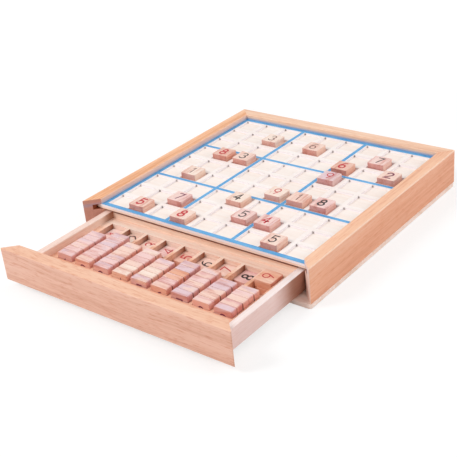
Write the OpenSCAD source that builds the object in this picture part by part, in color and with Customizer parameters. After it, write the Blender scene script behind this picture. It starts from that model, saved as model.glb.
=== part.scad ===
// Wooden sudoku board with a tile drawer.
// Millimetres, +Z up, +Y to the back. The origin is the centre of the case's underside.
// The drawer is drawn pulled out, as the board is used.

/* [Tiles] */
// Side of a square tile
tile_side = 19.5; // [16:0.1:24]
// Thickness of a tile
tile_thickness = 8; // [6:0.1:10]
// Radius of a tile's four corners, seen from above
tile_radius = 1.8; // [0.3:0.1:3]
// Radius of the edges round both faces of a tile
tile_edge = 0.7; // [0.3:0.1:2]

/* [Board] */
// Gap round a tile in its pocket
pocket_clearance = 1.5; // [0.5:0.1:3]
// Width of the bars between the pockets
web_width = 5; // [4.2:0.1:8]
// Distance from the outer grid line to the rails
board_margin = 2.25; // [0.5:0.05:6]
// Thickness of the windowed sheet, which is the depth of a pocket
grid_thickness = 2.5; // [1.5:0.1:5]
// Thickness of the sheet under it
base_thickness = 2.5; // [2:0.1:6]
// Depth of the board's surface below the top of the rails
board_drop = 6; // [5.5:0.5:10]
// How far both sheets reach into the rails
groove_depth = 6; // [3:0.5:8]
// Gap between the sheets' edges and the bottom of their groove
groove_clearance = 0.5; // [0.2:0.1:1]

/* [Case] */
// Thickness of the three rails and of the drawer front
rail_thickness = 14; // [10:0.5:20]
// Thickness of the panel under the rails
bottom_thickness = 5; // [3:0.5:10]
// Radius of the upright outer corners of the rails
corner_radius = 2; // [0.5:0.5:6]
// Radius of the eased long edges of the rails and the drawer's sides
edge_radius = 1; // [0.3:0.1:2]
// Radius of the upright corners of the bottom panel
panel_radius = 4; // [1.5:0.5:8]
// Radius of the edges round both faces of the bottom panel
panel_edge = 0.8; // [0.2:0.1:1.2]

/* [Drawer] */
// How far the drawer is pulled out
drawer_opening = 110; // [1:1:120]
// Gap between the drawer and the panel that it slides on
running_gap = 0.3; // [0.2:0.1:0.8]
// Gap on each side of the drawer
side_clearance = 2; // [0.5:0.1:4]
// Gap between the drawer's sides and the board above
top_clearance = 3; // [0.5:0.1:4]
// Gap between the standing tiles and the board above
headroom = 4.2; // [1.2:0.1:8]
// Thickness of the drawer's sides
side_thickness = 8; // [5:0.5:12]
// Thickness of the drawer's back
back_thickness = 8; // [5:0.5:14]
// How much lower the drawer's back is than its sides
back_drop = 1.5; // [0:0.1:3]
// Thickness of the sheet under the drawer
floor_thickness = 2; // [1:0.1:4]
// Distance that the floor sheet is set in from the drawer's sides
floor_inset = 2.5; // [0:0.1:4.5]

/* [Tile tray] */
// Thickness of the slotted sheet
tray_thickness = 13; // [8:0.5:18]
// Width of the bars between the slots
divider_width = 3.8; // [2:0.1:5.5]
// Gap on each side of a tile in its slot
slot_clearance = 0.5; // [0.3:0.05:1]
// Gap between the tiles and the ends of a slot
slot_end_gap = 0.45; // [0.3:0.05:1]
// Gap between two tiles that stand or lie together
tile_gap = 0.15; // [0.1:0.05:0.5]
// Spare length in the fullest slot
slot_play = 0.7; // [0.5:0.1:20]
// Radius of a slot's corners
slot_radius = 0.8; // [0.2:0.1:1.2]
// Length of the tray in front of the slots
tray_front_band = 26; // [5:0.5:40]
// Length of the tray behind the slots
tray_back_band = 10.8; // [6:0.1:90]

/* [Hidden] */
$fn = 48;
// Length by which a cut runs past the piece that it cuts
overrun = 1;
// Pockets along each side of the board
cells = 9;
// Slots in the tray, one for each numeral
slots = 9;

// Pockets that hold a tile, as column and row counted from the front left corner
board_cells = [
    [1, 0], [3, 0], [7, 0],
    [2, 1], [5, 1], [6, 1],
    [4, 2],
    [1, 3], [5, 3], [6, 3], [7, 3],
    [1, 5], [2, 5], [6, 5],
    [6, 6], [8, 6],
    [2, 7], [4, 7], [7, 7]
];
// Tiles that stand on edge in each slot, from the left
standing_counts = [6, 7, 6, 6, 5, 6, 6, 5, 5];
// Tiles that lie flat at the back end of each slot
flat_counts = [1, 1, 1, 1, 1, 1, 1, 1, 2];
// How far off centre the tiles lie in their pockets along X and Y, as shares of their clearance, in turn
pocket_shares = [[-0.8, 0.2], [-0.6, -0.2], [-0.8, 0.4], [-0.5, 0.1], [-0.7, -0.1]];
// How far off centre the tiles of a slot stand, as shares of their clearance, in turn
offset_shares = [0.4, -0.5, 0.1, -0.2, 0.6, -0.4, 0.3];

// Levels, from the underside up
floor_bottom = bottom_thickness + running_gap;
floor_top = floor_bottom + floor_thickness;
base_bottom = floor_top + tile_side + headroom;
base_top = base_bottom + base_thickness;
board_top = base_top + grid_thickness;
case_height = board_top + board_drop;
side_top = base_bottom - top_clearance;

// Plan of the board and the case
window_side = tile_side + 2 * pocket_clearance;
cell_pitch = window_side + web_width;
grid_half = cells * cell_pitch / 2;
inner_half = grid_half + board_margin;
case_half = inner_half + rail_thickness;
case_side = 2 * case_half;
board_width = 2 * (inner_half + groove_depth);
board_depth = 2 * inner_half + groove_depth;

// Plan of the tray
slot_width = tile_side + 2 * slot_clearance;
slot_pitch = slot_width + divider_width;
standing_pitch = tile_thickness + tile_gap;
full_row = max(standing_counts) * standing_pitch - tile_gap;
slot_length = full_row + slot_play + tile_side + 2 * slot_end_gap;

// Plan of the drawer, whose front lies in the case's front side when it is shut
front_outer = -case_half - drawer_opening;
front_inner = front_outer + rail_thickness;
slot_front = front_inner + tray_front_band;
slot_back = slot_front + slot_length;
back_inner = slot_back + tray_back_band;
drawer_end = back_inner + back_thickness;
side_outer = inner_half - side_clearance;
side_inner = side_outer - side_thickness;

// Centre of a pocket along X or Y
function cell_place(index) = (index - (cells - 1) / 2) * cell_pitch;

// Centre of a slot along X
function slot_place(index) = (index - (slots - 1) / 2) * slot_pitch;

// Place along X of one of the tiles in a slot
function stored_place(index, turn) =
    slot_place(index) + slot_clearance * offset_shares[(turn + 2 * index) % len(offset_shares)];

// Rectangle centred on the origin with round corners
module round_rectangle(width, depth, radius) {
    square([width - 2 * radius, depth], center = true);
    square([width, depth - 2 * radius], center = true);
    for (x = [-1, 1], y = [-1, 1])
        translate([x * (width / 2 - radius), y * (depth / 2 - radius)])
            circle(r = radius);
}

// Stick along Y with a round-edged section, standing on the origin
module stick(width, length, height, radius) {
    translate([0, 0, height / 2])
        rotate([90, 0, 0])
            linear_extrude(height = length, center = true)
                round_rectangle(width, height, radius);
}

// Square plate on the origin with round corners and round edges
module square_plate(side, thickness, corner, edge) {
    intersection() {
        linear_extrude(height = thickness)
            round_rectangle(side, side, corner);
        stick(side, side, thickness, edge);
        rotate([0, 0, 90])
            stick(side, side, thickness, edge);
    }
}

// Quarter of the case's plan that its front side fills, between two mitres
module mitre_wedge() {
    reach = case_half + overrun;
    linear_extrude(height = case_height)
        polygon([[0, 0], [-reach, -reach], [reach, -reach]]);
}

// Side of the case at its front, cut to the mitres and to the case's round corners
module mitred_side(foot) {
    intersection() {
        translate([0, rail_thickness / 2 - case_half, foot])
            rotate([0, 0, 90])
                stick(rail_thickness, case_side, case_height - foot, edge_radius);
        linear_extrude(height = case_height)
            round_rectangle(case_side, case_side, corner_radius);
        mitre_wedge();
    }
}

// Rail of the case: a mitred side with a groove along it for the board's two sheets
module grooved_rail() {
    groove = groove_depth + groove_clearance;
    difference() {
        mitred_side(bottom_thickness);
        translate([-case_half, -inner_half - groove, base_bottom])
            cube([case_side, groove + overrun, board_top - base_bottom]);
    }
}

module left_rail() {
    color("peru")
        rotate([0, 0, -90])
            grooved_rail();
}

module right_rail() {
    color("peru")
        rotate([0, 0, 90])
            grooved_rail();
}

module back_rail() {
    color("peru")
        rotate([0, 0, 180])
            grooved_rail();
}

module bottom_panel() {
    color("burlywood")
        square_plate(case_side, bottom_thickness, panel_radius, panel_edge);
}

// Sheet in the grooves of three rails, with its front edge free
module board_base() {
    color("bisque")
        translate([-board_width / 2, -inner_half, base_bottom])
            cube([board_width, board_depth, base_thickness]);
}

// Sheet on the base sheet, in the same grooves, with a window for each pocket
module grid_sheet() {
    color("ivory")
        translate([0, 0, base_top])
            linear_extrude(height = grid_thickness)
                difference() {
                    translate([-board_width / 2, -inner_half])
                        square([board_width, board_depth]);
                    for (column = [0 : cells - 1], row = [0 : cells - 1])
                        translate([cell_place(column), cell_place(row)])
                            square(window_side, center = true);
                }
}

module drawer_front() {
    color("tan")
        translate([0, -drawer_opening, 0])
            mitred_side(floor_top);
}

// Side of the drawer, from the drawer front to the drawer's end
module drawer_side() {
    length = drawer_end - front_inner;
    translate([0, front_inner + length / 2, floor_top])
        stick(side_thickness, length, side_top - floor_top, edge_radius);
}

module drawer_left_side() {
    color("wheat")
        translate([side_thickness / 2 - side_outer, 0, 0])
            drawer_side();
}

module drawer_right_side() {
    color("wheat")
        translate([side_outer - side_thickness / 2, 0, 0])
            drawer_side();
}

module drawer_back() {
    color("wheat")
        translate([0, back_inner + back_thickness / 2, floor_top])
            rotate([0, 0, 90])
                stick(back_thickness, 2 * side_inner, side_top - back_drop - floor_top, edge_radius);
}

// Sheet under the sides, the tray and half of the drawer front
module drawer_bottom() {
    width = 2 * (side_outer - floor_inset);
    front = front_outer + rail_thickness / 2;
    color("burlywood")
        translate([-width / 2, front, floor_bottom])
            cube([width, drawer_end - front, floor_thickness]);
}

// Sheet that fills the drawer, with a slot right through it for each numeral
module tile_tray() {
    color("sandybrown")
        translate([0, 0, floor_top])
            linear_extrude(height = tray_thickness)
                difference() {
                    translate([-side_inner, front_inner])
                        square([2 * side_inner, back_inner - front_inner]);
                    for (index = [0 : slots - 1])
                        translate([slot_place(index), (slot_front + slot_back) / 2])
                            round_rectangle(slot_width, slot_length, slot_radius);
                }
}

// Tile lying on the origin
module tile() {
    color("antiquewhite")
        square_plate(tile_side, tile_thickness, tile_radius, tile_edge);
}

// Tile in its pocket
module board_tile(index) {
    cell = board_cells[index];
    shift = pocket_clearance * pocket_shares[index % len(pocket_shares)];
    translate([cell_place(cell[0]) + shift[0], cell_place(cell[1]) + shift[1], base_top])
        tile();
}

// Row of tiles on edge, from the front end of a slot
module standing_tiles(index) {
    first = slot_front + slot_end_gap + tile_thickness;
    for (k = [0 : standing_counts[index] - 1])
        translate([stored_place(index, k), first + k * standing_pitch, floor_top + tile_side / 2])
            rotate([90, 0, 0])
                tile();
}

// Tiles that lie at the back end of a slot, one on another
module flat_tiles(index) {
    middle = slot_back - slot_end_gap - tile_side / 2;
    for (k = [0 : flat_counts[index] - 1])
        translate([stored_place(index, k), middle, floor_top + k * standing_pitch])
            tile();
}

left_rail();
right_rail();
back_rail();
bottom_panel();
board_base();
grid_sheet();
drawer_front();
drawer_left_side();
drawer_right_side();
drawer_back();
drawer_bottom();
tile_tray();
for (k = [1 : len(board_cells)])
    board_tile(k - 1);
for (k = [1 : slots])
    standing_tiles(k - 1);
for (k = [1 : slots])
    flat_tiles(k - 1);
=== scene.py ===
"""Looks of the wooden sudoku board with a tile drawer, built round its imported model.

Metres, +Z up, +Y to the back. The origin is the centre of the case's underside.
"""
import math

import bmesh
import bpy
from mathutils import Matrix, Vector


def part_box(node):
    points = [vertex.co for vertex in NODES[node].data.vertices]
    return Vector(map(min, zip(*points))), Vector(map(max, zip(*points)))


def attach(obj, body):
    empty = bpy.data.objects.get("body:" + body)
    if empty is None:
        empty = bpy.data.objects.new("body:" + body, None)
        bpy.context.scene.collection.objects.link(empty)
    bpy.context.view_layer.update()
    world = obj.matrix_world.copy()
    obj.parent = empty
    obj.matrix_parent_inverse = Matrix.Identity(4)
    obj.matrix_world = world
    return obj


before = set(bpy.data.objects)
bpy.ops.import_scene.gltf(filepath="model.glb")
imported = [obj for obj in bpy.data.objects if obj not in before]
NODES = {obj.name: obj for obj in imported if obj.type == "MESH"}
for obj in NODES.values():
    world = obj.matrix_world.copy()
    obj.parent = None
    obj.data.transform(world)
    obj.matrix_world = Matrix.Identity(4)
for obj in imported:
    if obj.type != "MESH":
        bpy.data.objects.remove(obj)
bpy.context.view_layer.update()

MM = 0.001
X, Y, Z = 0, 1, 2

# Painted lines, and numerals with their three widths of pen
LINE_WIDTH = 4.0 * MM
FRONT_BORDER = 5.2 * MM
SIDE_BORDER = 4.6 * MM
PAINT_RISE = 0.05 * MM
PAINT_SINK = 0.05 * MM
NUMERAL_HEIGHT = 11.5 * MM
FRONT_NUMERAL_DROP = 1.6 * MM
BOLD = 2.0 * MM
PLAIN = 1.45 * MM
FINE = 1.2 * MM

# Reach of the dark window corners, of painted shade and highlight, and of the lines' blue on the rails; a
# span of painted shade on the drawer's sides is measured from the mouth of the case
CORNER_DARK_REACH = 2.2 * MM
CORNER_DARK_CORE = 0.3 * MM
EDGE_SHADE_REACH = 0.7 * MM
WALL_SHADE_START = 2 * MM
SEAM_HALF = 0.55 * MM
EDGE_HIGHLIGHT_REACH = 1.6 * MM
BLUE_FOOT_REACH = 3.2 * MM
LEFT_MOUTH_SHADE_SPAN = (-4 * MM, 16 * MM)
RIGHT_MOUTH_SHADE_SPAN = (-36 * MM, 0.0)
GROOVE_DEPTH = 6.4 * MM
GROOVE_SLACK = 0.3 * MM

# Board layout: the grid as the part's source has it, and places read from the frame
CELLS = 9
BLOCK = 3
WINDOW_HALF = 11.25 * MM
CELL_PITCH = 27.5 * MM
GRID_HALF = CELLS * CELL_PITCH / 2
SHEET_LOW, SHEET_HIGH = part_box("grid_sheet")
CASE_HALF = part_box("back_rail")[1].y
RAIL_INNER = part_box("left_rail")[1].x
BACK_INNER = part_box("back_rail")[0].y
FRONT_EDGE = SHEET_LOW.y

# Surfaces: least and greatest roughness, strength and depth of the relief
PLANED = (0.42, 0.56, 0.22, 0.12 * MM)
MILLED = (0.46, 0.6, 0.22, 0.12 * MM)
SANDED = (0.5, 0.62, 0.18, 0.08 * MM)
PAINTED = (0.48, 0.6, 0.1, 0.08 * MM)
LINED = (0.42, 0.55, 0.1, 0.04 * MM)
INKED = (0.5, 0.65, 0.05, 0.03 * MM)
# Values of the relief between which the roughness changes
RELIEF_LOW, RELIEF_HIGH = 0.25, 0.75

# Part of a face's normal along an axis: where the face starts to count as looking that way, and where it
# counts in full
FACING_FROM, FACING_FULL = 0.45, 0.85
TOP_FROM, TOP_FULL = 0.4, 0.8


def srgb(red, green, blue):
    """Colour of a node socket from 0 to 255 values as a screen shows them."""
    def linear(value):
        share = value / 255
        return share / 12.92 if share <= 0.04045 else ((share + 0.055) / 1.055) ** 2.4
    return (linear(red), linear(green), linear(blue), 1.0)


class Look:
    """A node material under construction."""

    def __init__(self, name):
        self.material = bpy.data.materials.new(name)
        self.material.use_nodes = True
        self.tree = self.material.node_tree
        self.shader = self.tree.nodes["Principled BSDF"]
        self.place = self.add("ShaderNodeTexCoord").outputs["Object"]
        self.normal = self.axes(self.add("ShaderNodeNewGeometry").outputs["Normal"])

    def feed(self, socket, value):
        if isinstance(value, bpy.types.NodeSocket):
            self.tree.links.new(value, socket)
        else:
            socket.default_value = value

    def add(self, kind, inputs=None, **settings):
        node = self.tree.nodes.new(kind)
        for key, value in settings.items():
            setattr(node, key, value)
        for key, value in (inputs or {}).items():
            self.feed(node.inputs[key], value)
        return node

    def math(self, operation, first, second=0.0, third=0.0):
        inputs = {0: first, 1: second, 2: third}
        return self.add("ShaderNodeMath", inputs, operation=operation).outputs[0]

    def vector(self, operation, first, second=(0.0, 0.0, 0.0)):
        node = self.add("ShaderNodeVectorMath", {0: first, 1: second}, operation=operation)
        return node.outputs["Value" if operation == "LENGTH" else "Vector"]

    def axes(self, vector):
        return self.add("ShaderNodeSeparateXYZ", {0: vector}).outputs

    def noise(self, vector, detail=2.0, rough=0.5, warp=0.0):
        inputs = {"Vector": vector, "Scale": 1.0, "Detail": detail, "Roughness": rough, "Distortion": warp}
        return self.add("ShaderNodeTexNoise", inputs).outputs["Fac"]

    def span(self, value, low, high, start=0.0, end=1.0, smooth=False):
        inputs = {"Value": value, "From Min": low, "From Max": high, "To Min": start, "To Max": end}
        kind = "SMOOTHSTEP" if smooth else "LINEAR"
        return self.add("ShaderNodeMapRange", inputs, interpolation_type=kind).outputs["Result"]

    def mix(self, share, first, second, blend="MIX"):
        """Two colours mixed; the numbers are the colour sockets of the node."""
        node = self.add("ShaderNodeMix", data_type="RGBA", blend_type=blend)
        self.feed(node.inputs[0], share)
        self.feed(node.inputs[6], first)
        self.feed(node.inputs[7], second)
        return node.outputs[2]

    def ramp(self, share, stops, kind="LINEAR"):
        node = self.add("ShaderNodeValToRGB", {0: share})
        ramp = node.color_ramp
        ramp.interpolation = kind
        while len(ramp.elements) < len(stops):
            ramp.elements.new(1.0)
        for element, (at, colour) in zip(ramp.elements, stops):
            element.position = at
            element.color = colour
        return node.outputs["Color"]

    def facing(self, axis, sign=1.0):
        """Share 1 on faces that look along an axis, 0 on faces that look away from it."""
        return self.span(self.math("MULTIPLY", self.normal[axis], sign), FACING_FROM, FACING_FULL)

    def across(self, axis):
        """Share 1 on faces square to an axis, whichever way they look."""
        return self.span(self.math("ABSOLUTE", self.normal[axis]), FACING_FROM, FACING_FULL)

    def not_top(self):
        """Share 0 on faces that look up, 1 on all others."""
        return self.span(self.normal[Z], TOP_FULL, TOP_FROM)

    def stretched(self, grain, along, across, shift=(0.0, 0.0, 0.0), place=None):
        """Place scaled for a pattern drawn out along one axis, in repeats a metre."""
        scale = [across] * 3
        scale[grain] = along
        return self.vector("MULTIPLY", self.vector("ADD", place or self.place, shift), scale)

    def bent(self, grain, repeats, swing, shift):
        """Place pushed sideways along the grain, which makes straight streaks wavy."""
        wave = self.noise(self.stretched(grain, repeats, repeats * 2, shift), detail=1.0)
        push = self.math("MULTIPLY", self.math("SUBTRACT", wave, 0.5), swing)
        sides = {axis: push for axis in (X, Y, Z) if axis != grain}
        return self.vector("ADD", self.place, self.add("ShaderNodeCombineXYZ", sides).outputs[0])

    def finish(self, colour, relief, surface):
        """Material with this colour and surface, roughest where the relief is lowest."""
        least, greatest, strength, depth = surface
        self.feed(self.shader.inputs["Base Color"], colour)
        rough = self.span(relief, RELIEF_LOW, RELIEF_HIGH, greatest, least)
        self.feed(self.shader.inputs["Roughness"], rough)
        inputs = {"Height": relief, "Strength": strength, "Distance": depth}
        self.feed(self.shader.inputs["Normal"], self.add("ShaderNodeBump", inputs).outputs[0])
        return self.material


# Share of the dark flecks in the wood; swing and flecks of the drawer front, whose grain is wavy
FLECK = 0.3
FRONT_WAVE = 12 * MM
FRONT_FLECK = 0.5


def wood_grain(look, grain, shift, tones, wave=0.0, fleck=FLECK):
    """Beech: broad streaks, fine year rings and short dark flecks. Returns colour and relief.

    shift picks the stretch of grain that the piece is cut from.
    """
    place = look.bent(grain, repeats=7.0, swing=wave, shift=shift) if wave else None
    broad = look.noise(look.stretched(grain, 4.0, 60.0, shift, place), detail=3.0, rough=0.55, warp=0.3)
    fine = look.noise(look.stretched(grain, 12.0, 420.0, shift, place), detail=3.0, rough=0.6, warp=0.2)
    share = look.math("MULTIPLY_ADD", fine, 0.45, look.math("MULTIPLY", broad, 0.55))
    dark, middle, light = tones
    colour = look.ramp(share, [(0.34, dark), (0.5, middle), (0.66, light)])
    dashes = look.noise(look.stretched(grain, 100.0, 700.0, shift, place), detail=2.0, rough=0.5)
    dashes = look.span(dashes, 0.52, 0.74)
    colour = look.mix(look.math("MULTIPLY", dashes, fleck), colour, dark, "MULTIPLY")
    relief = look.math("MULTIPLY_ADD", dashes, -0.6, fine)
    return colour, relief


def beech(name, grain, shift, tones, wave=0.0, fleck=FLECK, deeper=None):
    """Planed beech; deeper gives the axis, sign and share of the faces that are deeper in colour, with
    painted shade.
    """
    look = Look(name)
    colour, relief = wood_grain(look, grain, shift, tones, wave, fleck)
    if deeper:
        axis, sign, share = deeper
        colour = look.mix(look.facing(axis, sign), colour, share, "MULTIPLY")
    return look.finish(colour, relief, PLANED)


def rail_look(node, shift, tones, axis, sign, inner, blue_foot, end_shading=None):
    """Beech rail: painted shade on its outer face and inside its groove, and a painted highlight along its
    upper outer edge.

    axis and sign say which way its outer face looks, and inner how far out its inner face is. The next
    argument is the share of the lines' blue at the foot of its inner face. The last is the tone of its front
    end, on a rail at
    the side: the end grain's tone with painted shade on the left rail and a painted sheen on the right. Such
    a rail's inner face is painted paler too, with light thrown back from the white board.
    """
    look = Look(f"{node}_wood")
    colour, relief = wood_grain(look, Y if axis == X else X, shift, tones)
    # Painted shade on the outer face
    colour = look.mix(look.facing(axis, sign), colour, RAIL_SIDE_SHADE, "MULTIPLY")
    place = look.axes(look.place)
    outward = look.math("MULTIPLY", place[axis], sign)
    from_top = look.math("SUBTRACT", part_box(node)[1].z, place[Z])
    from_edge = look.math("MAXIMUM", from_top, look.math("SUBTRACT", CASE_HALF, outward))
    # Painted highlight along the upper outer edge
    colour = look.mix(look.span(from_edge, EDGE_HIGHLIGHT_REACH, 0.0), colour, EDGE_HIGHLIGHT)
    inner_face = look.facing(axis, -sign)
    if end_shading:
        # Painted light on the inner face, thrown back from the white board
        colour = look.mix(look.math("MULTIPLY", inner_face, INNER_BOUNCE_SHARE), colour, INNER_BOUNCE)
        # Front end: the end grain's tone with painted shade on the left rail and a painted sheen on the right
        colour = look.mix(look.facing(Y, -1.0), colour, end_shading)
    # The lines' blue, carried onto the foot of the inner face and fading upwards
    from_sheet = look.math("ABSOLUTE", look.math("SUBTRACT", place[Z], SHEET_HIGH.z))
    foot = look.math("MULTIPLY", inner_face, look.span(from_sheet, 0.0, BLUE_FOOT_REACH, blue_foot, 0.0))
    colour = look.mix(foot, colour, LINE_TONES[1])
    # Painted shade inside the groove that holds the board's sheets
    low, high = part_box("board_base")[0].z, SHEET_HIGH.z
    in_depth = look.math("COMPARE", outward, inner + GROOVE_DEPTH / 2 + GROOVE_SLACK, GROOVE_DEPTH / 2)
    in_height = look.math("COMPARE", place[Z], (low + high) / 2, (high - low) / 2 + GROOVE_SLACK)
    colour = look.mix(look.math("MULTIPLY", in_depth, in_height), colour, GROOVE_SHADE)
    return look.finish(colour, relief, PLANED)


# Tones of wood, white paint and blue lines: dark, middle and light
LEFT_RAIL_TONES = (srgb(226, 158, 110), srgb(249, 190, 147), srgb(253, 207, 170))
RIGHT_RAIL_TONES = (srgb(230, 168, 132), srgb(248, 196, 162), srgb(252, 211, 182))
BACK_RAIL_TONES = (srgb(230, 176, 144), srgb(249, 207, 177), srgb(253, 220, 196))
FRONT_TONES = (srgb(221, 163, 133), srgb(240, 189, 159), srgb(247, 202, 175))
PANEL_TONES = (srgb(236, 206, 184), srgb(252, 228, 216), srgb(254, 236, 227))
LEFT_SIDE_TONES = (srgb(234, 196, 178), srgb(246, 217, 204), srgb(251, 229, 219))
RIGHT_SIDE_TONES = (srgb(238, 214, 206), srgb(250, 233, 229), srgb(253, 242, 240))
BACK_TONES = (srgb(242, 202, 176), srgb(254, 230, 211), srgb(255, 239, 226))
TRAY_TONES = (srgb(222, 158, 122), srgb(243, 190, 161), srgb(251, 209, 184))
# Painted light: the tray's paler tones where it reaches back under the board
TRAY_BACK_LIT_TONES = (srgb(240, 198, 172), srgb(254, 224, 206), srgb(255, 236, 222))
BASE_TONES = (srgb(246, 204, 180), srgb(255, 226, 209), srgb(255, 238, 224))
# Painted shade: wood tones for the slots' walls and the lower edges of the board base
SHADE_WOOD_TONES = (srgb(112, 52, 28), srgb(155, 85, 52), srgb(186, 118, 80))
SHEET_PAINT = (srgb(249, 235, 229), srgb(254, 244, 239), srgb(255, 248, 245))
BASE_PAINT = (srgb(247, 230, 219), srgb(251, 239, 231), srgb(252, 243, 237))
LINE_TONES = (srgb(66, 146, 206), srgb(92, 168, 222), srgb(120, 186, 232))

# Shares of painted shade, by which some faces are deeper in colour: the rails' outer faces, the drawer
# front's face, the drawer sides' right faces, the drawer back's top, and the drawer's sides near the mouth of
# the case
RAIL_SIDE_SHADE = srgb(243, 222, 214)
FRONT_FACE_SHADE = srgb(246, 243, 251)
LEFT_SIDE_SHADE = srgb(255, 255, 250)
RIGHT_SIDE_SHADE = srgb(242, 224, 220)
BACK_TOP_SHADE = srgb(164, 118, 98)
MOUTH_SHADE = srgb(186, 152, 132)

# Tones that take the place of the wood's or the paint's own; all but the dark window corners and the ink's
# gaps hold painted light and shade
# Front ends of the side rails: the end grain's tone with painted shade on the left and a painted sheen on the
# right
LEFT_END_SHADE = srgb(178, 110, 102)
RIGHT_END_SHEEN = srgb(254, 226, 214)
# Painted shade in the rails' grooves
GROOVE_SHADE = srgb(140, 66, 34)
# Painted highlight on the rails' upper outer edges
EDGE_HIGHLIGHT = srgb(255, 222, 200)
# Painted light from the white board on the rails' inner faces
INNER_BOUNCE = srgb(254, 222, 212)
# White paint of the window walls, cooler with painted shade
WALL_COOL_SHADE = srgb(252, 246, 248)
# Dark patches at the corners of the board's windows
CORNER_DARK_TONE = srgb(120, 100, 92)
INK_GAP_TONE = srgb(206, 150, 130)

# How much of such a tone shows at most; the painted shade on a slot's wall has a share for each end
INNER_BOUNCE_SHARE = 0.5
SIDE_BLUE_FOOT = 0.45
BACK_BLUE_FOOT = 0.85
EDGE_SHADE_SHARE = 0.8
INK_GAP_SHARE = 0.2
FRONT_WALL_SHADE, BACK_WALL_SHADE = 0.15, 1.0

# Tints of the tiles: the colour of a face that looks up
TINTS = {
    "cream": srgb(251, 230, 216),
    "peach": srgb(247, 213, 199),
    "pink": srgb(245, 210, 206),
    "rose": srgb(230, 178, 174),
    "mauve": srgb(231, 203, 209),
    "apricot": srgb(238, 192, 174),
    "orange": srgb(238, 178, 148),
}
# Shares by which their sides, end grain, streaks and seams are deeper, and how much of a seam shows on top;
# at the sides and the seams this is painted shade
LYING_SIDE_SHADE = srgb(255, 242, 234)
STANDING_SIDE_SHADE = srgb(241, 224, 212)
LYING_END_SHARE = srgb(224, 198, 200)
STANDING_END_SHARE = srgb(254, 236, 239)
TILE_STREAK = srgb(216, 150, 132)
SEAM_SHADE = srgb(112, 66, 56)
TOP_SEAM = 0.06

# Inks of the numerals
INKS = {
    "black": srgb(40, 24, 26),
    "brown": srgb(112, 66, 56),
    "plum": srgb(120, 40, 70),
    "red": srgb(196, 40, 52),
}

# Numeral, ink, pen and tint of each tile on the board, in the order of the nodes
BOARD_TILES = [
    (5, "red", BOLD, "peach"), (8, "red", BOLD, "peach"), (5, "black", PLAIN, "peach"),
    (7, "plum", PLAIN, "pink"), (5, "black", PLAIN, "pink"), (4, "red", BOLD, "pink"),
    (4, "black", BOLD, "cream"),
    (1, "brown", FINE, "cream"), (9, "red", FINE, "cream"), (1, "brown", FINE, "peach"),
    (8, "black", BOLD, "pink"),
    (8, "red", BOLD, "apricot"), (3, "black", PLAIN, "peach"), (9, "red", FINE, "mauve"),
    (6, "red", BOLD, "apricot"), (2, "plum", BOLD, "peach"),
    (3, "brown", FINE, "cream"), (6, "brown", FINE, "peach"), (7, "black", PLAIN, "pink"),
]
# Ink, pen, tint and shift to the back of the flat tile of each slot, whose numeral is the slot's
FLAT_TILES = [
    ("red", FINE, "pink", 0.0), ("black", PLAIN, "cream", 4 * MM), ("red", PLAIN, "peach", 2 * MM),
    ("red", PLAIN, "pink", 1 * MM), ("red", PLAIN, "apricot", 0.0), ("black", PLAIN, "peach", 0.0),
    ("red", FINE, "peach", 1 * MM), ("black", BOLD, "rose", 0.0), ("red", FINE, "orange", 0.0),
]
# Tints of the tiles that stand in each slot, from the front, and how dark the painted shade of the seams on
# their sides is
STANDING_TILES = [
    ("mauve pink peach pink mauve pink", 0.4),
    ("peach pink pink pink mauve pink mauve", 0.4),
    ("mauve pink mauve peach peach peach", 0.5),
    ("cream cream peach pink pink pink", 0.6),
    ("mauve cream cream peach pink", 0.8),
    ("peach rose pink orange mauve mauve", 0.9),
    ("mauve mauve peach pink rose peach", 0.9),
    ("pink peach peach mauve mauve", 0.95),
    ("mauve rose peach pink peach", 0.95),
]


def tile_wood(look, tint, grain, shift, side_shade, end_share, seam=None):
    """Sanded tile wood; tint is the colour of a face that looks up, seam the share of painted shade at the
    seams between tiles. The sides are deeper with painted shade, the end grain in its own tone.
    """
    broad = look.noise(look.stretched(grain, 24.0, 130.0, shift), detail=3.0, rough=0.55, warp=0.5)
    fine = look.noise(look.stretched(grain, 60.0, 900.0, shift), detail=3.0, rough=0.6, warp=0.2)
    share = look.math("MULTIPLY_ADD", fine, 0.4, look.math("MULTIPLY", broad, 0.6))
    streaks = look.span(share, 0.52, 0.36, 0.0, 0.6)
    colour = look.mix(streaks, tint, TILE_STREAK, "MULTIPLY")
    # Painted shade: the sides are deeper than the face that looks up
    colour = look.mix(look.not_top(), colour, side_shade, "MULTIPLY")
    colour = look.mix(look.across(grain), colour, end_share, "MULTIPLY")
    dashes = look.noise(look.stretched(grain, 260.0, 1500.0, shift), detail=1.0, rough=0.4)
    dashes = look.span(dashes, 0.60, 0.74, 0.0, FLECK)
    colour = look.mix(dashes, colour, TILE_STREAK, "MULTIPLY")
    if seam:
        # Painted shade at the seams between tiles
        colour = look.mix(seam, colour, SEAM_SHADE, "MULTIPLY")
    return look.finish(colour, fine, SANDED)


def lying_tile(node, tint, grain, shift):
    """One tile, or a pile of them, of one tint that drifts a little towards cream."""
    look = Look(node)
    drift = look.noise(look.stretched(grain, 34.0, 90.0, shift), detail=2.0)
    colour = look.mix(look.span(drift, 0.42, 0.68, 0.0, 0.5), TINTS[tint], TINTS["cream"])
    return tile_wood(look, colour, grain, shift, LYING_SIDE_SHADE, LYING_END_SHARE)


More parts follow.
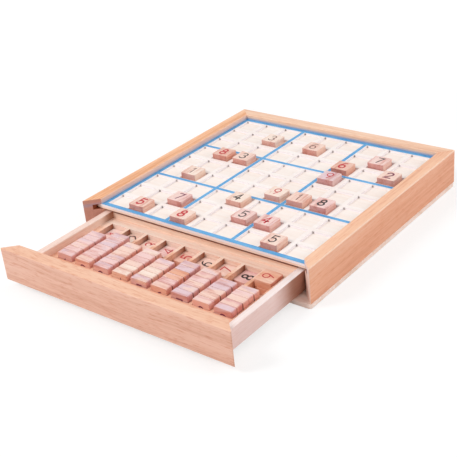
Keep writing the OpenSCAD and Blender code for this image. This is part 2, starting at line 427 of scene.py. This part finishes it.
def standing_tiles(node, tints, shift, side_seam):
    """Row of tiles that changes tint from tile to tile, and in patches towards the next tile's."""
    low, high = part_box(node)
    look = Look(node)
    along = look.span(look.axes(look.place)[Y], low.y, high.y)
    own = [(k / len(tints), TINTS[tint]) for k, tint in enumerate(tints)]
    other = [(k / len(tints), TINTS[tint]) for k, tint in enumerate(tints[1:] + tints[:1])]
    patch = look.noise(look.stretched(X, 55.0, 120.0, shift), detail=1.0)
    patch = look.span(patch, 0.46, 0.6, 0.0, 0.8)
    colour = look.mix(patch, look.ramp(along, own, "CONSTANT"), look.ramp(along, other, "CONSTANT"))
    seam = tile_seams(look, along, high.y - low.y, len(tints), side_seam)
    return tile_wood(look, colour, X, shift, STANDING_SIDE_SHADE, STANDING_END_SHARE, seam)


def tile_seams(look, along, length, count, side_seam):
    """Share of painted shade where two tiles of a row meet, faint on top; along is the share of the row's
    length.
    """
    within = look.math("FRACT", look.math("MULTIPLY", along, float(count)))
    from_middle = look.math("ABSOLUTE", look.math("SUBTRACT", within, 0.5))
    near = look.span(from_middle, 0.5 - SEAM_HALF * count / length, 0.5)
    from_ends = look.math("ABSOLUTE", look.math("SUBTRACT", along, 0.5))
    inside = look.math("LESS_THAN", from_ends, 0.5 - 0.5 / count)
    depth = look.span(look.normal[Z], 0.1, 0.5, side_seam, TOP_SEAM)
    return look.math("MULTIPLY", look.math("MULTIPLY", near, inside), depth)


def corner_dark_share(look):
    """Share in patches round the corners of the board's windows, which are darker there."""
    place = look.axes(look.place)
    offsets = []
    for axis in (X, Y):
        cell = look.math("FRACT", look.math("DIVIDE", look.math("ADD", place[axis], GRID_HALF), CELL_PITCH))
        middle = look.math("MULTIPLY", look.math("ABSOLUTE", look.math("SUBTRACT", cell, 0.5)), CELL_PITCH)
        offsets.append(look.math("SUBTRACT", middle, WINDOW_HALF))
    flat = look.add("ShaderNodeCombineXYZ", {X: offsets[X], Y: offsets[Y]}).outputs[0]
    patch = look.noise(look.stretched(X, 90.0, 90.0), detail=1.0)
    near = look.span(look.vector("LENGTH", flat), CORNER_DARK_REACH, CORNER_DARK_CORE, smooth=True)
    return look.math("MULTIPLY", near, look.span(patch, 0.3, 0.65, 0.3, 0.75))


def paint_coat(look, tones):
    """Thin white paint that lets the grain of the sheet through a little. Returns colour and relief."""
    grain = look.noise(look.stretched(X, 9.0, 240.0), detail=4.0, rough=0.6, warp=0.3)
    cloud = look.noise(look.stretched(X, 14.0, 26.0, (0.4, 0.2, 0.0)), detail=2.0)
    share = look.math("MULTIPLY_ADD", grain, 0.6, look.math("MULTIPLY", cloud, 0.4))
    dark, middle, light = tones
    return look.ramp(share, [(0.32, dark), (0.5, middle), (0.66, light)]), grain


def sheet_look():
    """White sheet, painted on every face: a cooler white on its edges with painted shade, and dark patches
    round the corners of its window walls.
    """
    look = Look("grid_sheet_paint")
    colour, grain = paint_coat(look, SHEET_PAINT)
    edges = look.not_top()
    place = look.axes(look.place)
    in_grid = look.math("GREATER_THAN", place[Y], FRONT_EDGE + CORNER_DARK_REACH)
    below_edge = look.span(place[Z], SHEET_HIGH.z, SHEET_HIGH.z - CORNER_DARK_REACH / 2)
    # Painted shade: the paint of the edges and window walls is a cooler white than on top
    colour = look.mix(edges, colour, WALL_COOL_SHADE)
    # Darker patches round the windows' corners, on the walls below their top edges
    corner_patches = look.math("MULTIPLY", look.math("MULTIPLY", corner_dark_share(look), edges), in_grid)
    corner_patches = look.math("MULTIPLY", corner_patches, below_edge)
    return look.finish(look.mix(corner_patches, colour, CORNER_DARK_TONE), grain, PAINTED)


def base_look():
    """Sheet under the windows: painted on top, darker round the windows' corners, bare wood elsewhere, with
    painted shade along the lower part of its front and back edges.
    """
    look = Look("board_base_paint")
    paint, grain = paint_coat(look, BASE_PAINT)
    # Darker patches round the windows' corners on the floors
    paint = look.mix(corner_dark_share(look), paint, CORNER_DARK_TONE)
    wood, _ = wood_grain(look, X, (0.2, 0.5, 0.1), BASE_TONES)
    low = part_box("board_base")[0].z
    height = look.axes(look.place)[Z]
    # Painted shade along the lower part of the front and back edges, under the board
    edge = look.span(height, low + EDGE_SHADE_REACH, low + EDGE_SHADE_REACH / 3, 0.0, EDGE_SHADE_SHARE)
    wood = look.mix(look.math("MULTIPLY", edge, look.across(Y)), wood, SHADE_WOOD_TONES[0])
    return look.finish(look.mix(look.facing(Z), wood, paint), grain, PAINTED)


def line_look():
    """Blue lines, a little uneven where the paint missed the grain."""
    look = Look("line_paint")
    grain = look.noise(look.stretched(X, 30.0, 500.0), detail=3.0, rough=0.6)
    patch = look.noise(look.stretched(X, 60.0, 60.0), detail=2.0)
    share = look.math("MULTIPLY_ADD", grain, 0.5, look.math("MULTIPLY", patch, 0.5))
    dark, middle, light = LINE_TONES
    colour = look.ramp(share, [(0.3, dark), (0.5, middle), (0.7, light)])
    return look.finish(colour, grain, LINED)


def ink_look(name, colour):
    """Stamped ink that lets a little of the wood grain through."""
    look = Look(f"ink_{name}")
    grain = look.noise(look.stretched(X, 90.0, 1400.0), detail=3.0, rough=0.6)
    gaps = look.span(grain, 0.5, 0.85, 0.0, INK_GAP_SHARE)
    return look.finish(look.mix(gaps, colour, INK_GAP_TONE), grain, INKED)


def tray_look():
    """Beech sheet, painted lighter at the back, where it reaches under the board; the left walls of its slots
    have painted shade, most towards the back.
    """
    look = Look("tray_wood")
    front, relief = wood_grain(look, X, (0.7, 0.1, 0.3), TRAY_TONES)
    back, _ = wood_grain(look, X, (0.7, 0.1, 0.3), TRAY_BACK_LIT_TONES)
    wall_shade, _ = wood_grain(look, Z, (0.1, 0.6, 0.2), SHADE_WOOD_TONES)
    low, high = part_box("flat_tiles_1")
    along = look.axes(look.place)[Y]
    # Painted light: paler tones towards the back, which lies in the board's shade
    wood = look.mix(look.span(along, low.y, high.y), front, back)
    depth = look.span(along, low.y + WALL_SHADE_START, high.y, FRONT_WALL_SHADE, BACK_WALL_SHADE)
    # Painted shade on the slots' left walls, growing towards the back
    colour = look.mix(look.math("MULTIPLY", look.facing(X), depth), wood, wall_shade)
    return look.finish(colour, relief, MILLED)


def side_look(node, shift, tones, share, shade_span):
    """Pale beech; painted shade makes the right face deeper, and browner still along the given span, where
    the side nears the mouth of the case.
    """
    look = Look(f"{node}_wood")
    colour, relief = wood_grain(look, Y, shift, tones)
    right = look.facing(X)
    # Painted shade on the right face
    colour = look.mix(right, colour, share, "MULTIPLY")
    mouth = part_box("right_rail")[0].y
    # Painted shade where the side nears the mouth of the case
    start, end = shade_span
    near_mouth = look.span(look.axes(look.place)[Y], mouth + start, mouth + end, smooth=True)
    colour = look.mix(look.math("MULTIPLY", right, near_mouth), colour, MOUTH_SHADE, "MULTIPLY")
    return look.finish(colour, relief, PLANED)


def dress(node, material):
    """Give a node of the frame one material."""
    mesh = NODES[node].data
    mesh.materials.clear()
    mesh.materials.append(material)


def dress_case_and_drawer():
    """Give each piece of the case and the drawer its own look, with its own stretch of grain."""
    rails = [
        ("left_rail", (0.0, 0.0, 0.0), LEFT_RAIL_TONES, X, -1.0, -RAIL_INNER, SIDE_BLUE_FOOT, LEFT_END_SHADE),
        ("right_rail", (0.35, 0.2, 0.1), RIGHT_RAIL_TONES, X, 1.0, -RAIL_INNER, SIDE_BLUE_FOOT, RIGHT_END_SHEEN),
        ("back_rail", (0.1, 0.6, 0.2), BACK_RAIL_TONES, Y, 1.0, BACK_INNER, BACK_BLUE_FOOT),
    ]
    for rail in rails:
        dress(rail[0], rail_look(*rail))
    dress("bottom_panel", beech("bottom_panel_wood", X, (0.5, 0.1, 0.4), PANEL_TONES))
    # Painted shade on the drawer front's face
    face = (Y, -1.0, FRONT_FACE_SHADE)
    front = beech("drawer_front_wood", X, (0.2, 0.3, 0.7), FRONT_TONES, FRONT_WAVE, FRONT_FLECK, face)
    dress("drawer_front", front)
    sides = [
        ("drawer_left_side", (0.9, 0.3, 0.1), LEFT_SIDE_TONES, LEFT_SIDE_SHADE, LEFT_MOUTH_SHADE_SPAN),
        ("drawer_right_side", (0.6, 0.8, 0.3), RIGHT_SIDE_TONES, RIGHT_SIDE_SHADE, RIGHT_MOUTH_SHADE_SPAN),
    ]
    for side in sides:
        dress(side[0], side_look(*side))
    # Painted shade on the drawer back's top, which lies in the board's shade
    top = (Z, 1.0, BACK_TOP_SHADE)
    dress("drawer_back", beech("drawer_back_wood", X, (0.4, 0.7, 0.5), BACK_TONES, deeper=top))
    dress("drawer_bottom", beech("drawer_bottom_wood", X, (0.3, 0.9, 0.6), PANEL_TONES))
    dress("tile_tray", tray_look())
    dress("grid_sheet", sheet_look())
    dress("board_base", base_look())


# Steps through the grain from one tile, or row of tiles, to the next
BOARD_STEPS = (0.13, 0.29, 0.07)
FLAT_STEPS = (0.41, 0.11, 0.23)
STANDING_STEPS = (0.31, 0.17, 0.0)


def grain_shift(steps, number):
    return tuple(step * number for step in steps)


def dress_tiles():
    for number, (_, _, _, tint) in enumerate(BOARD_TILES, 1):
        node = f"board_tile_{number}"
        dress(node, lying_tile(node, tint, Y, grain_shift(BOARD_STEPS, number)))
    for number, (_, _, tint, _) in enumerate(FLAT_TILES, 1):
        node = f"flat_tiles_{number}"
        dress(node, lying_tile(node, tint, X, grain_shift(FLAT_STEPS, number)))
    for number, (tints, side_seam) in enumerate(STANDING_TILES, 1):
        node = f"standing_tiles_{number}"
        dress(node, standing_tiles(node, tints.split(), grain_shift(STANDING_STEPS, number), side_seam))


def new_piece(name, mesh, material, body):
    piece = bpy.data.objects.new(name, mesh)
    bpy.context.scene.collection.objects.link(piece)
    mesh.materials.append(material)
    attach(piece, body)


def mesh_from(name, bm):
    bmesh.ops.recalc_face_normals(bm, faces=bm.faces)
    mesh = bpy.data.meshes.new(name)
    bm.to_mesh(mesh)
    bm.free()
    return mesh


def line_marks(first, last, first_width, last_width):
    """Edges of the lines along one axis of the board, in pairs, from border to border."""
    half = LINE_WIDTH / 2
    centres = [k * BLOCK * CELL_PITCH - GRID_HALF for k in range(1, CELLS // BLOCK)]
    pairs = [(first, first + first_width)]
    pairs += [(centre - half, centre + half) for centre in centres]
    pairs += [(last - last_width, last)]
    return [edge for pair in pairs for edge in pair]


def grid_lines():
    """One thin layer of paint: the border and the lines between the blocks of nine cells."""
    columns = line_marks(RAIL_INNER, -RAIL_INNER, SIDE_BORDER, SIDE_BORDER)
    rows = line_marks(FRONT_EDGE, BACK_INNER, FRONT_BORDER, SIDE_BORDER)
    low, high = SHEET_HIGH.z - PAINT_SINK, SHEET_HIGH.z + PAINT_RISE
    bm = bmesh.new()
    corners = {}

    def corner(i, j):
        if (i, j) not in corners:
            corners[i, j] = bm.verts.new((columns[i], rows[j], low))
        return corners[i, j]

    for i in range(len(columns) - 1):
        for j in range(len(rows) - 1):
            if i % 2 == 0 or j % 2 == 0:
                bm.faces.new((corner(i, j), corner(i + 1, j), corner(i + 1, j + 1), corner(i, j + 1)))
    raised = bmesh.ops.extrude_face_region(bm, geom=bm.faces[:])
    tops = [part for part in raised["geom"] if isinstance(part, bmesh.types.BMVert)]
    bmesh.ops.translate(bm, verts=tops, vec=(0.0, 0.0, high - low))
    new_piece("grid_lines", mesh_from("grid_lines", bm), line_look(), "case")


# Steps of an arc; a ring has twice as many
ARC_STEPS = 14


def arc(centre, radii, start, end, steps=ARC_STEPS):
    """Points of an ellipse's arc, in degrees, anticlockwise if end is greater."""
    angles = [math.radians(start + (end - start) * k / steps) for k in range(steps + 1)]
    return [(centre[X] + radii[X] * math.cos(a), centre[Y] + radii[Y] * math.sin(a)) for a in angles]


def ring(centre, radii):
    return arc(centre, radii, 90, 450, 2 * ARC_STEPS)[:-1]


# Pen strokes of each numeral in a box one high and 0.6 wide, centred; True closes a stroke
TWO_HOOK = arc((0.0, 0.22), (0.27, 0.28), 165, -32)
THREE_TOP = arc((-0.03, 0.25), (0.25, 0.25), 155, -90)
THREE_BOWL = arc((-0.03, -0.25), (0.30, 0.25), 90, -155)
FIVE_BOWL = arc((-0.01, -0.18), (0.29, 0.32), 128, -150)
SIX_STEM = arc((0.24, -0.16), (0.52, 0.66), 96, 182)
STROKES = {
    1: [([(-0.14, 0.30), (0.04, 0.50), (0.04, -0.50)], False)],
    2: [(TWO_HOOK + [(-0.28, -0.50), (0.30, -0.50)], False)],
    3: [(THREE_TOP + THREE_BOWL[1:], False)],
    4: [([(0.12, -0.50), (0.12, 0.50), (-0.30, -0.20), (0.30, -0.20)], False)],
    5: [([(0.25, 0.50), (-0.20, 0.50), (-0.23, 0.02)] + FIVE_BOWL, False)],
    6: [(SIX_STEM, False), (ring((0.0, -0.20), (0.28, 0.30)), True)],
    7: [([(-0.28, 0.50), (0.28, 0.50), (-0.08, -0.50)], False)],
    8: [(ring((0.0, 0.26), (0.22, 0.24)), True), (ring((0.0, -0.24), (0.28, 0.26)), True)],
    9: [([(0.26, 0.08), (0.0, -0.50)], False), (ring((0.0, 0.20), (0.28, 0.30)), True)],
}
# Steps of a stroke's round end, in degrees; most that a corner widens a stroke; rise of each further stroke
CAP_ANGLES = (80, 55, 28)
MITRE_LIMIT = 1.8
STROKE_STEP = 0.3


def round_cap(end, inside, half):
    """Points past the end of a pen stroke and the half widths there, from the tip inwards."""
    out = (end - inside).normalized()
    angles = [math.radians(angle) for angle in CAP_ANGLES]
    return [(end + out * half * math.sin(a), half * math.cos(a)) for a in angles]


def ribbon(points, closed, half):
    """Left and right edge points of a pen stroke with round ends."""
    path = [(Vector(point), half) for point in points]
    if not closed:
        head = round_cap(path[0][0], path[1][0], half)
        tail = round_cap(path[-1][0], path[-2][0], half)
        path = head + path + tail[::-1]
    count = len(path)
    edges = []
    for k, (point, width) in enumerate(path):
        before = path[k - 1][0] if closed or k else point
        after = path[(k + 1) % count][0] if closed or k + 1 < count else point
        come = (point - before).normalized() if point != before else (after - point).normalized()
        go = (after - point).normalized() if after != point else come
        along = (come + go).normalized()
        side = Vector((-along.y, along.x))
        reach = side * width / max(1 / MITRE_LIMIT, along.dot(go))
        edges.append((point + reach, point - reach))
    return edges


def numeral_mesh(name, numeral, pen, place):
    """Thin raised ink strokes; place takes the flat numeral to its face on the tile."""
    bm = bmesh.new()
    for layer, (points, closed) in enumerate(STROKES[numeral]):
        rise = PAINT_RISE * (1 + STROKE_STEP * layer)
        rows = []
        for left, right in ribbon(points, closed, pen / 2 / NUMERAL_HEIGHT):
            section = ((left, rise), (right, rise), (right, -PAINT_SINK), (left, -PAINT_SINK))
            flat = [Vector((p.x * NUMERAL_HEIGHT, p.y * NUMERAL_HEIGHT, height)) for p, height in section]
            rows.append([bm.verts.new(place @ point) for point in flat])
        pairs = list(zip(rows, rows[1:]))
        if closed:
            pairs.append((rows[-1], rows[0]))
        else:
            bm.faces.new(rows[0])
            bm.faces.new(rows[-1])
        for one, two in pairs:
            for k in range(len(one)):
                bm.faces.new((one[k - 1], one[k], two[k], two[k - 1]))
    return mesh_from(name, bm)


QUARTER_TURN = Matrix.Rotation(math.radians(90), 4, "Z")
FACE_FRONT = Matrix.Rotation(math.radians(90), 4, "X")
FACE_BACK = Matrix.Rotation(math.radians(180), 4, "Z") @ FACE_FRONT


def stamp(node, numeral, ink, pen, centre, turn=Matrix.Identity(4), side=""):
    """Numeral on one face of a tile; centre is the middle of that face."""
    name = f"numeral_{node}{side}"
    mesh = numeral_mesh(name, numeral, pen, Matrix.Translation(centre) @ turn)
    new_piece(name, mesh, ink, node)


def top_centre(node):
    low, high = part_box(node)
    return Vector(((low.x + high.x) / 2, (low.y + high.y) / 2, high.z))


def stamp_tiles():
    """Numerals on top of the lying tiles and on the two end faces of each standing row."""
    inks = {name: ink_look(name, colour) for name, colour in INKS.items()}
    for number, (numeral, ink, pen, _) in enumerate(BOARD_TILES, 1):
        node = f"board_tile_{number}"
        stamp(node, numeral, inks[ink], pen, top_centre(node))
    for number, (ink, pen, _, shift) in enumerate(FLAT_TILES, 1):
        node = f"flat_tiles_{number}"
        stamp(node, number, inks[ink], pen, top_centre(node) + Vector((0.0, shift, 0.0)), QUARTER_TURN)
    for number in range(1, len(STANDING_TILES) + 1):
        node = f"standing_tiles_{number}"
        low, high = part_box(node)
        middle = (low + high) / 2
        front = Vector((middle.x, low.y, middle.z - FRONT_NUMERAL_DROP))
        stamp(node, number, inks["plum"], PLAIN, front, FACE_FRONT, "_front")
        stamp(node, number, inks["black"], BOLD, Vector((middle.x, high.y, middle.z)), FACE_BACK, "_back")


# Floor: the camera sees its glow, and near the board a share of its shaded surface
FLOOR_HALF = 3.0
FLOOR_WHITES = (srgb(246, 246, 246), srgb(250, 250, 250))
FLOOR_ROUGHNESS = 0.9
FLOOR_GLOW = 1.1
SHADED_SHARE = 0.4
SHADOW_NEAR = 0.3
SHADOW_FAR = 0.8

# Light: strength of the sky, and the name, place, diameter and watts of each lamp
AMBIENT = 0.5
LAMP_TARGET = Vector((0.0, -0.05, 0.0))
LAMPS = [
    ("key", (-0.9, -1.3, 1.5), 0.9, 20.0),
    ("side", (1.4, 0.5, 0.9), 0.7, 7.0),
    ("top", (0.2, 0.1, 1.8), 1.2, 3.0),
]


def floor():
    """Pale floor that stays white to the camera and keeps a soft shadow near the board."""
    mesh = bpy.data.meshes.new("floor")
    corners = [(x * FLOOR_HALF, y * FLOOR_HALF, 0.0) for x, y in ((-1, -1), (1, -1), (1, 1), (-1, 1))]
    mesh.from_pydata(corners, [], [(0, 1, 2, 3)])
    piece = bpy.data.objects.new("floor", mesh)
    bpy.context.scene.collection.objects.link(piece)
    look = Look("floor_white")
    cloud = look.noise(look.stretched(X, 1.0, 1.0), detail=2.0)
    dark, light = FLOOR_WHITES
    look.feed(look.shader.inputs["Base Color"], look.ramp(cloud, [(0.3, dark), (0.7, light)]))
    look.feed(look.shader.inputs["Roughness"], FLOOR_ROUGHNESS)
    glow = look.add("ShaderNodeEmission", {"Strength": FLOOR_GLOW})
    distance = look.vector("LENGTH", look.place)
    share = look.span(distance, SHADOW_NEAR, SHADOW_FAR, SHADED_SHARE, 0.0, smooth=True)
    both = look.add("ShaderNodeMixShader", {0: share, 1: glow.outputs[0], 2: look.shader.outputs[0]})
    seen = look.add("ShaderNodeLightPath").outputs["Is Camera Ray"]
    chosen = look.add("ShaderNodeMixShader", {0: seen, 1: look.shader.outputs[0], 2: both.outputs[0]})
    look.feed(look.tree.nodes["Material Output"].inputs["Surface"], chosen.outputs[0])
    mesh.materials.append(look.material)


def sky():
    """Even ambient light, plain white to the camera and in reflections."""
    world = bpy.data.worlds.new("studio")
    bpy.context.scene.world = world
    world.use_nodes = True
    tree = world.node_tree
    background = tree.nodes["Background"]
    path = tree.nodes.new("ShaderNodeLightPath")
    seen = tree.nodes.new("ShaderNodeMath")
    seen.operation = "MAXIMUM"
    tree.links.new(path.outputs["Is Camera Ray"], seen.inputs[0])
    tree.links.new(path.outputs["Is Glossy Ray"], seen.inputs[1])
    strength = tree.nodes.new("ShaderNodeMapRange")
    strength.inputs["To Min"].default_value = AMBIENT
    strength.inputs["To Max"].default_value = 1.0
    tree.links.new(seen.outputs[0], strength.inputs["Value"])
    background.inputs["Color"].default_value = (1.0, 1.0, 1.0, 1.0)
    tree.links.new(strength.outputs["Result"], background.inputs["Strength"])


def lamp(name, place, size, power):
    data = bpy.data.lights.new(name, "AREA")
    data.shape = "DISK"
    data.size = size
    data.energy = power
    light = bpy.data.objects.new(name, data)
    light.location = place
    light.rotation_euler = (LAMP_TARGET - Vector(place)).to_track_quat("-Z", "Y").to_euler()
    bpy.context.scene.collection.objects.link(light)


# Camera fitted to the grid lines of the photograph; the sensor's width in millimetres only sets the lens
SENSOR_WIDTH = 36.0
IMAGE_SIZE = 457
FOCAL_PIXELS = 969.49
CAMERA_PLACE = (0.5578, -0.7290, 0.4737)
AZIMUTH = math.radians(40.53)
ELEVATION = math.radians(28.09)
ROLL = math.radians(5.92)


def camera():
    data = bpy.data.cameras.new("camera")
    data.sensor_width = SENSOR_WIDTH
    data.lens = FOCAL_PIXELS * SENSOR_WIDTH / IMAGE_SIZE
    view = bpy.data.objects.new("camera", data)
    level = Vector((math.cos(AZIMUTH), math.sin(AZIMUTH), 0.0))
    outward = Vector((math.sin(AZIMUTH), -math.cos(AZIMUTH), 0.0))
    back = math.cos(ELEVATION) * outward + math.sin(ELEVATION) * Vector((0.0, 0.0, 1.0))
    upright = back.cross(level)
    right = math.cos(ROLL) * level - math.sin(ROLL) * upright
    above = math.sin(ROLL) * level + math.cos(ROLL) * upright
    turn = Matrix((right, above, back)).transposed().to_4x4()
    view.matrix_world = Matrix.Translation(CAMERA_PLACE) @ turn
    bpy.context.scene.collection.objects.link(view)
    bpy.context.scene.camera = view


dress_case_and_drawer()
dress_tiles()
grid_lines()
stamp_tiles()
floor()
sky()
for lamp_values in LAMPS:
    lamp(*lamp_values)
camera()
bpy.context.scene.view_settings.view_transform = "Standard"
